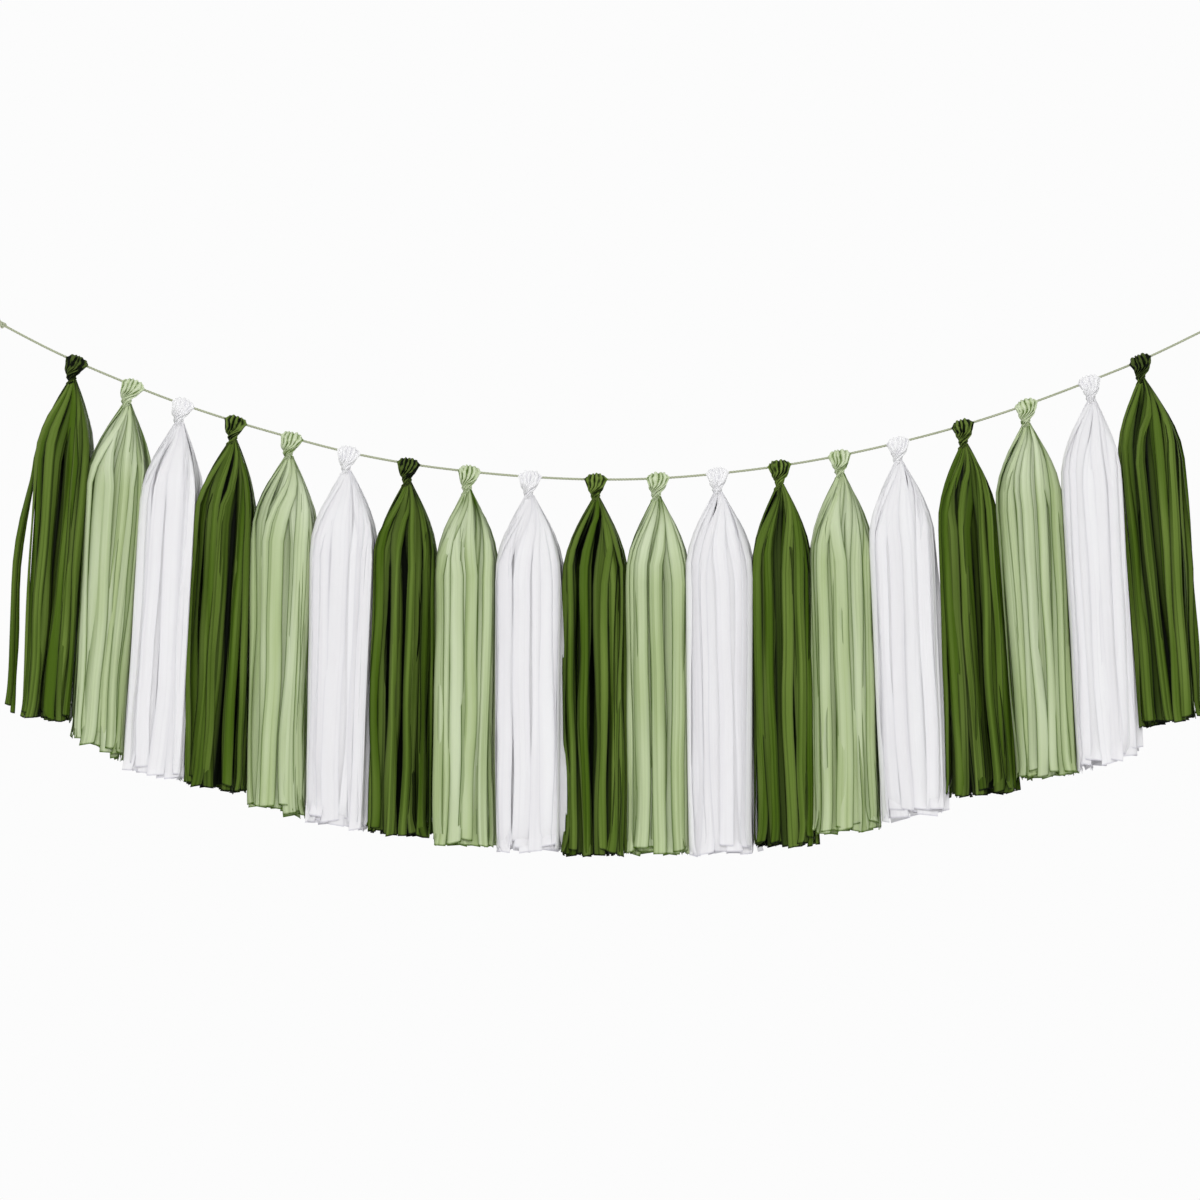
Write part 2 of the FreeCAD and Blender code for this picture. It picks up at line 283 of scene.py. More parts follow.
def twistedCord(name, lines):
    # plied cord along each line of points: a lobed section that turns as it goes
    sizes = stringSizes
    vertices, faces, grooveShade = [], [], []
    around = sizes["around"]
    half = sizes["diameter"] / 2
    for points, closed in lines:
        first = len(vertices)
        count = len(points)
        side = Vector((0, 1, 0))
        run = 0.0
        for number, point in enumerate(points):
            before = points[number - 1] if closed or number else point
            after = points[(number + 1) % count] if closed or number < count - 1 else point
            ahead = (after - before).normalized()
            side = (side - ahead * side.dot(ahead)).normalized()
            up = ahead.cross(side)
            if number:
                run += (point - points[number - 1]).length
            twist = 2 * math.pi * run / sizes["layLength"]
            for step in range(around):
                angle = 2 * math.pi * step / around
                lobe = abs(math.cos(sizes["plies"] * (angle - twist) / 2))
                reach = half * between(*sizes["grooved"], lobe)
                vertices.append(point + (side * math.cos(angle) + up * math.sin(angle)) * reach)
                # painted shade: 1 deep in the groove between the plies, 0 on a ply's crown
                grooveShade.append((1 - lobe) ** 2)
        rings = count if closed else count - 1
        for number in range(rings):
            low, high = first + number * around, first + (number + 1) % count * around
            for step in range(around):
                other = (step + 1) % around
                faces.append((low + step, low + other, high + other, high + step))
        if not closed:  # rounded ends
            for end, turned in ((0, True), (count - 1, False)):
                ring = [first + end * around + step for step in range(around)]
                onward = (points[end] - points[1 if turned else -2]).normalized()
                vertices.append(points[end] + onward * half * sizes["endDome"])
                grooveShade.append(0)
                for step in range(around):
                    pair = (ring[step], ring[(step + 1) % around])
                    faces.append((*(pair[::-1] if turned else pair), len(vertices) - 1))
    mapped = [(vertex.z + vertex.y, vertex.x) for vertex in vertices]
    mesh = smoothMesh(name, vertices, faces, mapped, {"grooveShade": grooveShade})
    return newPiece(name, mesh, twine)


route = [Vector((x / 1000, 0, z / 1000)) for x, z in stringSizes["route"]]
stringLine, stringLength = evenly(splinePoints("stringRoute", route), stringSizes["step"])
cord = twistedCord("twisted_string", [(stringLine, False)])
print("string made, %.4f m" % stringLength)

loopSizes = {
    "knotReach": 0.00082,  # size of the overhand knot's own curve
    "eyeWidth": 0.0162,  # across the loop, between the middles of the cord
    "knotDepth": 1.1,  # front to back, against its curve
    "knotSteps": 24,
    "knotStep": 0.0009,  # along the cord in the knot
    # the cut end that stands out of the knot: millimetres to the back, and away from the eye
    "tail": ((0, 0), (3.5, 1), (4.5, 4), (3.5, 8.5)),
    # the eye from knot to knot: shares of its length and half width, and millimetres to the back
    "eye": ((0.0, 0.1, 0.6), (0.3, 0.12, 0.7), (0.62, 0.6, 0.3), (0.95, 1.12, 0), (1.4, 1.0, 0),
            (1.68, 0.35, -0.1), (1.68, -0.35, -0.1), (1.4, -1.0, 0), (0.95, -1.12, 0),
            (0.62, -0.6, -0.3), (0.3, -0.12, -0.7), (0.0, -0.1, -0.6)),
}


def endLoop(name, knot, eye, sideways):
    # a loop, the overhand knot that closes it and the short cut end beside it
    away = (eye - knot).normalized()
    across = Vector((away.z, 0, -away.x)) * sideways
    deep = Vector((0, 1, 0))
    wide = loopSizes["eyeWidth"] / 2
    reach = (eye - knot).length
    loop = [knot + away * along * reach + across * out * wide + deep * back / 1000
            for along, out, back in loopSizes["eye"]]
    twist = []
    for number in range(loopSizes["knotSteps"]):
        turn = 2 * math.pi * number / loopSizes["knotSteps"]
        x = math.sin(turn) + 2 * math.sin(2 * turn)
        y = math.cos(turn) - 2 * math.cos(2 * turn)
        z = loopSizes["knotDepth"] * math.sin(3 * turn)
        twist.append(knot + (away * x + across * y - deep * z) * loopSizes["knotReach"])
    tail = [knot + (deep * back - away * out) / 1000 for back, out in loopSizes["tail"]]
    step, knotStep = stringSizes["step"], loopSizes["knotStep"]
    lines = [(evenly(splinePoints(name, loop), step)[0], False),
             (evenly(splinePoints(name, twist, True), knotStep, True)[0], True),
             (evenly(splinePoints(name, tail), step)[0], False)]
    return twistedCord(name, lines)


rightEye = route[-1] + (route[-1] - route[-2]).normalized() * route[0].length
loops = [endLoop("left_loop_knotted", route[0], Vector((0, 0, 0)), 1),
         endLoop("right_loop_knotted", route[-1], rightEye, -1)]
for loop, node in zip(loops, ("left_end_loop", "right_end_loop")):
    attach(loop, "root")
    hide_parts(node)
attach(cord, "root")
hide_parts("string")
print("end loops tied")


# the tassels
tasselSizes = {
    "colours": ("dark_green", "light_green", "white"),
    "lean": (-5, -5, -4, -4, -2.5, -2.5, -1.5, -1, 0, 0, 0.5, 1.5, 1.5, 1.5, 3, 3.5, 3.5, 3.5, 5.5),
    "length": 0.342,  # from the string to the longest strip's end
    "longer": (-12, -7, -1, -4, 1, 1, 0, 2, 2, 4, 3, 8, 8, 4, 2, -1, 1, 8, -8),  # millimetres
    # how much further the right of each hem hangs than its left, over its width
    "hemSlant": (0.05, 0.35, 0.15, 0.13, 0.2, 0.15, 0.05, 0.0, 0.0, 0.0, 0.0, 0.0, 0.0, -0.07,
                 -0.13, -0.03, -0.05, -0.3, -0.1),
    "rings": ((17, 1.0), (14, 0.87), (11, 0.70), (8, 0.46)),  # strips, and share of the width
    "stripGrid": (7, 25),  # points across and down
    # each colour's strips, in the order of the fringe's sockets for them
    "stripSockets": ("Strip Width", "Roundness", "Tilt", "Edge Shade", "Layer Shade",
                     "Squareness", "Flatness", "Openness", "Parting", "Shoulder Tint"),
    "strips": {"dark_green": (0.0101, 0.85, 1.0, 1.0, 1.9, 1.2, 3.0, 1.0, 0.0016, -0.2),
               "light_green": (0.0124, 0.4, 0.6, 0.95, 0.5, 1.3, 5.0, 0.65, 0.0012, 1.1),
               "white": (0.0138, 0.12, 0.18, 0.35, 0.15, 1.45, 7.0, 0.40, 0.0, 0.6)},
    "paper": 0.00028,  # drawn thicker than tissue is, so that an edge shows
    "neckDrop": 0.0165,  # from the string down to where the strips start
    "neckWidth": 0.0060,
    # how far each neck hangs to the right of the point above it, in millimetres
    "neckShift": (-3.5, -5, -3.5, -2, -3, -2, -1.5, -2, -1.5, -0.5, -2, -1, -0.5, 0, -1, -0.5, -2,
                  0.5, -1),
    "shoulderDrop": 0.092,
    "depth": {"dark_green": 0.0242, "light_green": 0.0256, "white": 0.0270},
    "gap": 0.0001,
    "shear": 0.09,  # the front of each tassel sits this much over its left neighbour
    "ragged": 0.009,
    "sway": 0.013,
    "ringTurn": 0.7,  # how much each tassel's rings are turned on from the last, radians
    "turnedOn": {11: -0.4},  # and what is added for some of them
    # tassels with a strip hanging apart: where round it, in degrees, and how far
    "strays": {0: (180, 0.017), 6: (0, 0.003), 11: (0, 0.004), 13: (180, 0.003), 18: (0, 0.003)},
    "firstSeed": 11,
    "lowest": 1.15,  # how far past the lower height a meeting line goes on, as a share
    "sharpDegrees": 48,
    # half widths at the shoulder to the left and right of the middle, in millimetres
    "shoulders": ((31, 26), (35, 22.5), (33, 22), (33, 28), (34, 26), (31, 29), (31.5, 30.5),
                  (31, 26.5), (32, 29.5), (32, 32), (31.5, 28.5), (32, 30.5), (28.5, 30),
                  (31, 30.5), (32, 28.5), (29.5, 33), (36, 27.5), (33, 30), (31, 30.5)),
    "overlap": 0.003,  # how far one shoulder may lie behind the next
    # where each tassel meets the next, left to right, in millimetres at the two heights
    "meetHeights": (-0.2222, -0.3326),
    "meets": ((42.0, 31.0), (85.6, 76.0), (137.1, 125.6), (184.9, 178.5), (242.9, 237.4),
              (290.7, 292.1), (350.1, 345.5), (410.3, 407.1), (460.5, 464.6), (529.0, 524.9),
              (585.1, 584.2), (640.8, 641.7), (698.7, 699.7), (755.8, 757.2), (808.2, 817.0),
              (871.7, 876.3), (938.4, 941.6), (991.8, 996.8), (1047.0, 1052.0), (1109.5, 1107.5)),
}

headSizes = {
    "around": 60,
    "rows": 92,
    "halfWidth": 0.0111,
    "overString": 0.0034,  # middle of the bundle above the middle of the string
    "thick": 0.0022,  # half of it, as are the legs' thickness and width
    "legReach": 0.0017,  # each leg's middle from the neck's middle
    "legThick": 0.0020,
    "legWidth": 0.0029,
    "twistTop": 0.0050,
    "twistEnd": 0.0270,
    "neckTop": 0.0165,
    "neckEnd": 0.0260,
    "sinks": (0.0185, 0.0245),  # where the legs go in under the strips
    "sunkBy": 0.0030,
    "laidDown": 0.0205,  # from here on the legs lie along the skirt, this far inside it:
    "insideSkirt": 0.0008,
    "skirtReach": 0.028,
    "twistDegrees": -270,
    "topWidth": (0.82, 0.3),  # share of the width on top, and of the way down where it widens
    "sunkThick": 0.5,  # share of the legs' thickness and relief left where they sink in
    "sunkRelief": 0.4,
    "pleats": 5,
    "ridgeMiddle": 0.6,  # a pleat's height that stays where it is
    # the pleats' phase: its change from head to head and for each metre down, and its wander,
    # which is this strong and varies across, down and from head to head
    "phase": (1.7, 35),
    "wander": 1.5,
    "wanderScale": (1.2, 80, 4.1),
    "pleatDepth": {"dark_green": 0.0012, "light_green": 0.0017, "white": 0.0014},
    "crumple": {"dark_green": 0.0017, "light_green": 0.0012, "white": 0.0008},
    "crown": 0.42,  # how much lower the bundle's corners are than its top
    "crownEnds": 0.006,
    "underRelief": 0.25,  # share of the relief on the bundle's under side
    "lane": (3.7, 1.9, 5.3),  # step through the creases' pattern from head to head
    "fan": (0.0085, 0.002, 0.16),  # a head's size in it: across, through and along
    "cells": (240, 0.5, 0.27),  # creases to the metre, the deepest, and the middle of their range
    "finerCells": (560, 0.4, 0.2),
    "finerShare": 0.3,
    "rumple": (240, 0.0007),
    "leanShare": 0.55,  # the head sits half square to the string, the neck hangs plumb
    # how deep a crease must be for painted shade, and the heads drawn darker all over than the rest
    "shade": {"dark_green": 0.0001, "light_green": -0.0003, "white": -0.00045},
    "darkerHeads": {0: 0.6, 3: 0.15, 6: 0.5, 15: 0.25, 18: 0.65},
    "darkest": 0.9,
    "darkFade": 0.0006,
    "ridgeLight": (0.35, 1.2),  # painted light and shade: the tone in a crease and on a ridge, between these two heights
    "ridgeLightHeights": (-0.0004, 0.0008),
    "mapWidth": 0.011,  # half the width on the paper, and the step from head to head
    "mapStep": 0.07,
}


def gatheredHead(number, slope, shift, colour):
    # The middle of the sheet, bunched over the string; its two legs twist round each other below.
    sizes = headSizes
    around, rows = sizes["around"], sizes["rows"]
    quarter = math.pi / 2 * sizes["overString"]
    half = quarter + sizes["neckEnd"]
    vertices, faces, mapped, dense, ridgeLight = [], [], [], [], []
    lane = Vector(sizes["lane"]) * number
    shoulder = tasselSizes["shoulderDrop"] - tasselSizes["neckDrop"]
    topWidth, widens = sizes["topWidth"]
    across, down, apart = sizes["wanderScale"]
    rumples, rumpled = sizes["rumple"]
    for row in range(rows + 1):
        share = 2 * row / rows - 1
        run = abs(share) * half
        back = 1 if share > 0 else -1
        if run < quarter:
            bend = run / sizes["overString"]
            outward = Vector((0, back * math.sin(bend), math.cos(bend)))
            middle = outward * sizes["overString"]
            wide = Vector((1, 0, 0))
            drop = sunk = opened = 0.0
        else:
            drop = run - quarter
            sunk = smoothStep(*sizes["sinks"], drop)
            twisted = smoothStep(sizes["twistTop"], sizes["twistEnd"], drop)
            turn = math.radians(90 * back + sizes["twistDegrees"] * twisted)
            outward = Vector((math.cos(turn), math.sin(turn), 0))
            wide = Vector((math.sin(turn), -math.cos(turn), 0)) * back
            crossing = smoothStep(0, sizes["neckTop"], drop)
            reach = between(sizes["overString"], sizes["legReach"], crossing)
            # below the crossing the legs lie along the skirt and then sink into it
            opened = math.sin(math.pi / 2 * max(0, (drop - tasselSizes["neckDrop"]) / shoulder))
            cone = tasselSizes["neckWidth"] / 2 + opened * sizes["skirtReach"]
            laid = smoothStep(sizes["neckTop"], sizes["laidDown"], drop)
            reach = between(reach, cone - sizes["insideSkirt"], laid) - sizes["sunkBy"] * sunk
            middle = outward * reach - Vector((0, 0, drop))
        # the bundle keeps its width over the string and draws in, in a straight line, to the neck
        drawnIn = min(1, drop / sizes["neckTop"])
        rounding = smoothStep(widens * quarter, quarter, run) if drop == 0 else 1
        halfWide = between(sizes["halfWidth"], sizes["legWidth"], drawnIn)
        halfWide *= between(topWidth, 1, rounding)
        thick = between(sizes["thick"], sizes["legThick"], drawnIn)
        thick *= between(1, sizes["sunkThick"], sunk)
        for step in range(around):
            # a rounded oblong section, its points closest together over the front and the back
            angle = 2 * math.pi * step / around
            out, over = math.cos(angle), 2 * math.sin(angle)
            size = (abs(out) ** 3 + abs(over) ** 3) ** (1 / 3)
            out, over = out / size, over / size
            outer = between(sizes["underRelief"], 1, max(0, over))
            astray = noise.noise(Vector((out * across, run * down, number * apart)))
            phase = sizes["phase"][0] * number + sizes["phase"][1] * run + sizes["wander"] * astray
            ridge = abs(math.cos(math.pi * sizes["pleats"] * out / 2 + phase))
            pleat = (ridge - sizes["ridgeMiddle"]) * sizes["pleatDepth"][colour]
            crown = 1 - sizes["crown"] * abs(out) ** 3 * smoothStep(sizes["crownEnds"], 0, drop)
            place = middle * crown + wide * out * halfWide + outward * over * thick * crown
            # creases run up and down, fanning out with the bundle
            fan = Vector((out, over, share * half)) * Vector(sizes["fan"])
            crease = 0
            for name, part in (("cells", 1), ("finerCells", sizes["finerShare"])):
                scale, deepest, middling = sizes[name]
                nearest = noise.voronoi(fan * scale + lane)[0]
                crease += (min(deepest, nearest[1] - nearest[0]) - middling) * part
            rumple = noise.noise(place * rumples + lane) * rumpled
            height = pleat + crease * sizes["crumple"][colour] + rumple
            height *= between(1, sizes["sunkRelief"], sunk)
            place += (wide * out + outward * over) * height * outer
            plumb = smoothStep(0, sizes["neckTop"], drop)
            lean = slope * sizes["leanShare"] * (1 - plumb)
            aside = Vector((shift * plumb * (1 - opened), 0, 0))
            vertices.append(Matrix.Rotation(-math.atan(lean), 3, "Y") @ place + aside)
            mapped.append((out * sizes["mapWidth"] + number * sizes["mapStep"], share * half))
            # painted shade in the deeper creases, with some heads drawn darker all over, and
            # painted light on the ridges
            dark = sizes["shade"][colour]
            darkened = smoothStep(dark, dark - sizes["darkFade"], height)
            dense.append(between(0, sizes["darkest"], darkened) + sizes["darkerHeads"].get(number, 0))
            ridgeLight.append(between(*sizes["ridgeLight"], smoothStep(*sizes["ridgeLightHeights"], height)))
    for row in range(rows):
        for step in range(around):
            other = (step + 1) % around
            low, high = row * around, (row + 1) * around
            faces.append((low + step, high + step, high + other, low + other))
    for end, turned in ((0, False), (rows, True)):
        ring = [end * around + step for step in range(around)]
        faces.append(ring[::-1] if turned else ring)
    return smoothMesh("gatheredHead", vertices, faces, mapped, {"tint": ridgeLight, "dense": dense})


fringeSizes = {
    "ringStep": 0.4,  # how far each ring is turned on from the one outside it, radians
    "rowEase": -0.1,  # how much closer the rows stand at the neck and at the cut end
    # each strip draws its own share of these; its tint share is its own dye tone, to which painted
    # light is added, and where its deep share is above nought it gets painted valley shade near the
    # neck
    "ranges": {"trim": (0, 1), "tilt": (-0.30, 0.62), "arch": (0.0008, 0.0032),
               "fold": (0.0002, 0.0011), "phase": (0, 6.28), "curl": (-0.005, 0.006),
               "slant": (-0.25, 0.25), "tint": (0.05, 0.6), "inset": (0.95, 1.10),
               "jitter": (-0.10, 0.10), "wide": (0.75, 1.2), "cross": (-0.35, 0.35),
               "deep": (-2.6, 1.8)},
    "seedStep": 37.0,
    "hemReach": 0.028,  # half the width that a hem's slant is measured over
    "spiral": (2.5, 0.5),  # how soon and how far the strips follow the twist at the neck
    "bunches": (4.0, 0.18),  # folds that the strips bunch in there, and how closely
    "planPower": 8.0,  # more is squarer in plan
    "lanes": (3.17, 5.3),  # each strip's and each tassel's step through the waves' noise
    "waves": 6.5,  # to the metre
    "shoulderSwing": 0.25,  # share of the sway at the shoulder
    "flatSwing": 0.25,  # share of the sway in and out that flat paper keeps
    "outermost": 0.9,  # the ring's share of the width must pass this,
    "atFront": -0.8,  # and its place from back to front lie past this, to part
    "partEnds": 0.8,
    "strayNear": 0.90,  # cosine of how near to the stray turn a strip hangs apart
    "strayDrop": (0.050, 0.205),
    "strayNarrower": -0.5,
    "strayTurned": 1.3,
    "strayShares": (-0.35, 0.35, 1.0, 0.55),  # strips at the front go further than at the back
    "fullWidth": 0.8,  # how far down to the shoulder the strips spread to full width
    "innerWider": (0.4, 1.35),  # a ring's share of the width, and how much wider its strips are
    "neckStrip": 0.0032,
    "ripple": 8.5,  # radians of fold across a strip
    "neckRelief": 0.6,
    "curlReach": 0.018,
    "facing": 1.9,  # how far the waves turn a strip, in radians
    "neckRoom": 0.0038,  # half the width that the neighbours leave at the neck
    "pressing": 14.0,  # more is a flatter side
    "frontDepth": 0.012,  # in front of the middle, where the shear starts
    "mapStep": 0.0371,  # on the paper, from strip to strip
    "tightness": 3.0,  # more keeps the painted valley shade nearer the neck
    "rims": (-3.2, 4.0),  # how sharply the shade gathers at a strip's edges
    # how much paler the painted edge shade is near the neck on the strips without valley shade
    "unshadedEdgesPaler": -0.6,
    "endOn": 9.0,  # more is a narrower band of painted shade at each side of the neck
    "neckDeeper": 0.8,
    "surface": (0.0, 0.35, 0.15, 1.0),  # from the neck down, the share of the inner shade
    "valleyShade": 0.75,
    "hemShade": 0.010,  # height of the stretch above a cut end that can be shaded
    "weld": 0.000005,
}


def fringeTree():
    # Rings of tissue strips that start in the neck, open over the shoulder and hang to the hem.
    sizes = fringeSizes
    neckDrop, shoulderDrop = tasselSizes["neckDrop"], tasselSizes["shoulderDrop"]
    tree = bpy.data.node_groups.new("fringe_of_tissue_strips", "GeometryNodeTree")
    add = partial(addNode, tree)
    tree.interface.new_socket("Geometry", in_out="OUTPUT", socket_type="NodeSocketGeometry")
    kinds = {"Geometry": "Geometry", "Hang Point": "Vector", "Lean": "Rotation", "Seed": "Int",
             "Tissue": "Material"}
    for name in ("Geometry", "Hang Point", "Lean", "Length", "Left Shoulder", "Left Hem",
                 "Right Shoulder", "Right Hem", "Depth", "Hem Slant", "Neck Shift", "Ring Turn",
                 "Stray Turn", "Stray Reach", "Seed", "Tissue", *tasselSizes["stripSockets"]):
        kind = "NodeSocket" + kinds.get(name, "Float")
        tree.interface.new_socket(name, in_out="INPUT", socket_type=kind)
    given = add("NodeGroupInput").outputs

    # one strip is a flat grid; its rings of points carry each strip's turn and share of the width
    strip = add("GeometryNodeMeshGrid", [1.0, 1.0, *tasselSizes["stripGrid"]])
    place = add("GeometryNodeInputIndex")
    rings = add("GeometryNodeJoinGeometry")
    for number, (count, share) in enumerate(tasselSizes["rings"]):
        points = add("GeometryNodePoints", [count])
        turn = add(timesPlus, [place, 2 * math.pi / count, sizes["ringStep"] * number])
        turned = add(plus, [turn, given["Ring Turn"]])
        marked = add(store, [points, None, "turn", turned])
        sized = add(store, [marked, None, "share", share])
        tree.links.new(sized.outputs[0], rings.inputs[0])
    counted = add(store, [rings, None, "strip", place], data_type="INT")
    strips = add("GeometryNodeInstanceOnPoints", {"Points": counted, "Instance": strip})
    loose = add("GeometryNodeRealizeInstances", [strips])

    here = add("ShaderNodeSeparateXYZ", [add("GeometryNodeInputPosition")]).outputs
    # columns stand closer together at a strip's edges
    edgeward = add(times, [add(power, [here["X"], 3.0]), -2.0])
    across = add(timesPlus, [here["X"], 1.5, edgeward])
    level = add(plus, [here["Y"], 0.5])
    # rows stand closer together at the neck and at the cut end
    wave = add(maths + " SINE", [add(times, [level, 2 * math.pi])])
    along = add(timesPlus, [wave, sizes["rowEase"], level])

    turn, share = (add("GeometryNodeInputNamedAttribute", [name]) for name in ("turn", "share"))
    number = add("GeometryNodeInputNamedAttribute", ["strip"], data_type="INT")
    chance = {}
    for order, (name, (low, high)) in enumerate(sizes["ranges"].items()):
        seed = add(plus, [given["Seed"], sizes["seedStep"] * order])
        chance[name] = add("FunctionNodeRandomValue", [float(low), float(high), number, seed])

    # how far down this row is, and how far it has opened
    cut = add(times, [chance["trim"], chance["trim"]])
    trim = add(times, [cut, tasselSizes["ragged"]])
    trimmed = add(minus, [given["Length"], trim])
    toSide = add(times, [add(maths + " COSINE", [turn]), sizes["hemReach"]])
    ownLength = add(timesPlus, [toSide, given["Hem Slant"], trimmed])
    drop = add(mix, [along, neckDrop, ownLength])
    opening = add(mapRange, [drop, neckDrop, shoulderDrop, 0.0, 1.0])
    quarter = add(times, [opening, math.pi / 2])
    opened = add(maths + " SINE", [quarter])
    falling = add(mapRange, [drop, shoulderDrop, given["Length"], 0.0, 1.0])
    left = add(mix, [falling, given["Left Shoulder"], given["Left Hem"]])
    right = add(mix, [falling, given["Right Shoulder"], given["Right Hem"]])

    # where it is round the tassel; near the neck the strips still follow the twist
    closed = add(minus, [1.0, opening])
    sooner, further = sizes["spiral"]
    spiral = add(times, [add(power, [closed, sooner]), further])
    crossed = add(timesPlus, [chance["cross"], closed, chance["jitter"]])
    bunches, closely = sizes["bunches"]
    folds = add(maths + " SINE", [add(timesPlus, [turn, bunches, given["Seed"]])])
    bunched = add(timesPlus, [folds, add(times, [closed, closely]), crossed])
    nudged = add(plus, [turn, bunched])
    angle = add(plus, [nudged, spiral])
    plan = []
    for operation in ("COSINE", "SINE"):  # a squarer round than a circle
        circle = add(maths + " " + operation, [angle])
        way = add(times, [circle, given["Squareness"]])
        size = add(power, [add(maths + " ABSOLUTE", [way]), sizes["planPower"]])
        eased = add(power, [add(plus, [size, 1.0]), 1 / sizes["planPower"]])
        plan.append(add(divide, [way, eased]))
    outY, outX = (add(power, [way, given["Flatness"]]) for way in plan[::-1])
    outward = add(maths + " ARCTAN2", [outY, outX])
    toRight = add(mapRange, [plan[0], -1.0, 1.0, 0.0, 1.0])
    halfWidth = add(mix, [toRight, left, right])
    ring = add(times, [add(power, [share, given["Openness"]]), chance["inset"]])
    neck = tasselSizes["neckWidth"] / 2
    reachX = add(times, [halfWidth, ring])
    reachY = add(times, [given["Depth"], ring])
    openX = add(mix, [opened, neck, reachX])
    openY = add(mix, [opened, neck, reachY])
    plainX = add(times, [plan[0], openX])
    plainY = add(times, [plan[1], openY])

    # slow waves down each strip: sideways, in and out, and in the way it faces
    perStrip, perTassel = sizes["lanes"]
    ownLane = add(timesPlus, [number, perStrip, add(times, [given["Seed"], perTassel])])
    spot = add("ShaderNodeCombineXYZ", [ownLane, add(times, [drop, sizes["waves"]]), 0.0])
    waves = add("ShaderNodeTexNoise", [spot, 1.0, 1.0, 0.5], noise_dimensions="2D")
    evened = add(vectors + " SUBTRACT", [waves.outputs["Color"], (0.5, 0.5, 0.5)])
    driftX, driftY, driftZ = add("ShaderNodeSeparateXYZ", [evened]).outputs
    swing = add(mapRange, [falling, 0.0, 1.0, sizes["shoulderSwing"], 1.0])
    swung = add(times, [swing, tasselSizes["sway"]])
    freed = add(times, [swung, opened])
    # the outer strips at the front part down the middle, most of all at the shoulder
    outermost = add(maths + " GREATER_THAN", [share, sizes["outermost"]])
    atFront = add(maths + " LESS_THAN", [plan[1], sizes["atFront"]])
    parts = add(times, [add(times, [outermost, atFront]), given["Parting"]])
    wayOut = add(maths + " SIGN", [plan[0]])
    fades = add(mapRange, [falling, 0.0, sizes["partEnds"], 1.0, 0.0])
    opens = add(times, [add(times, [fades, opened]), wayOut])
    partedX = add(timesPlus, [parts, opens, plainX])
    looseX = add(timesPlus, [driftX, freed, partedX])
    steadied = add(mix, [given["Roundness"], sizes["flatSwing"], 1.0])
    freedY = add(times, [freed, steadied])
    looseY = add(timesPlus, [driftY, freedY, plainY])

    # strips at the stray turn come away from the rest further down
    turnedBy = add(minus, [turn, given["Stray Turn"]])
    nearness = add(maths + " COSINE", [turnedBy])
    near = add(maths + " GREATER_THAN", [nearness, sizes["strayNear"]])
    isStray = add(times, [near, outermost])
    apart = add(mapRange, [drop, *sizes["strayDrop"], 0.0, isStray],
                interpolation_type="SMOOTHSTEP")

    # the strip's own section: bent back at its edges and lightly folded, tilted over its neighbour
    spread = add(mapRange, [opening, 0.0, sizes["fullWidth"], 0.0, 1.0],
                 interpolation_type="SMOOTHSTEP")
    innermost, wider = sizes["innerWider"]
    innerWidth = add(mapRange, [share, 1.0, innermost, 1.0, wider])
    ownWidth = add(times, [given["Strip Width"], chance["wide"]])
    fullWidth = add(times, [ownWidth, innerWidth])
    narrowed = add(times, [add(timesPlus, [apart, sizes["strayNarrower"], 1.0]), fullWidth])
    width = add(mix, [spread, sizes["neckStrip"], narrowed])
    tangent = add(times, [across, width])
    edge = add(times, [add(times, [across, across]), 4.0])  # 1 at both edges of the strip
    arch = add(times, [chance["arch"], given["Roundness"]])
    bow = add(times, [edge, arch])
    ripple = add(timesPlus, [across, sizes["ripple"], chance["phase"]])
    fold = add(times, [chance["fold"], given["Roundness"]])
    rippled = add(times, [add(maths + " SINE", [ripple]), fold])
    folded = add(minus, [rippled, bow])
    deepened = add(mapRange, [spread, 0.0, 1.0, sizes["neckRelief"], 1.0])
    section = add(times, [folded, deepened])
    toEnd = add(minus, [ownLength, drop])
    tip = add(mapRange, [toEnd, sizes["curlReach"], 0.0, 0.0, 1.0])
    tipped = add(times, [tip, tip])
    curled = add(timesPlus, [tipped, chance["curl"], section])
    slant = add(times, [add(times, [tangent, chance["slant"]]), tip])
    facing = add(timesPlus, [driftZ, sizes["facing"], chance["tilt"]])
    turning = add(times, [facing, given["Tilt"]])
    turnedOut = add(timesPlus, [apart, sizes["strayTurned"], outward])
    face = add(timesPlus, [turning, spread, turnedOut])
    flat = add("ShaderNodeCombineXYZ", [curled, tangent, slant])
    offset = add("ShaderNodeVectorRotate", [flat, None, face], rotation_type="Z_AXIS")
    middle = add("ShaderNodeCombineXYZ", [looseX, looseY, add(times, [drop, -1.0])])
    hangs = add("ShaderNodeSeparateXYZ", [add(vectors + " ADD", [middle, offset])])
    hangX, hangY, hangZ = hangs.outputs

    # the neighbours press a tassel's sides flat: only a stray passes its share of the room
    room = add(mix, [opened, sizes["neckRoom"], halfWidth])
    pressed = add(maths + " ABSOLUTE", [add(divide, [hangX, room])])
    raised = add(plus, [add(power, [pressed, sizes["pressing"]]), 1.0])
    eased = add(power, [raised, 1 / sizes["pressing"]])
    held = add(divide, [hangX, eased])
    sideways = add(mix, [apart, held, hangX])
    fromFront = add(plus, [hangY, sizes["frontDepth"]])
    sheared = add(timesPlus, [fromFront, tasselSizes["shear"], sideways])
    narrow = add(minus, [1.0, opened])
    aside = add(timesPlus, [narrow, given["Neck Shift"], sheared])

    ownWay = add(mapRange, [plan[1], *sizes["strayShares"]])
    reach = add(times, [given["Stray Reach"], ownWay])
    way = add(times, [add(maths + " COSINE", [given["Stray Turn"]]), reach])
    moved = add(times, [apart, way])
    finalX = add(plus, [aside, moved])
    settled = add("ShaderNodeCombineXYZ", [finalX, hangY, hangZ])

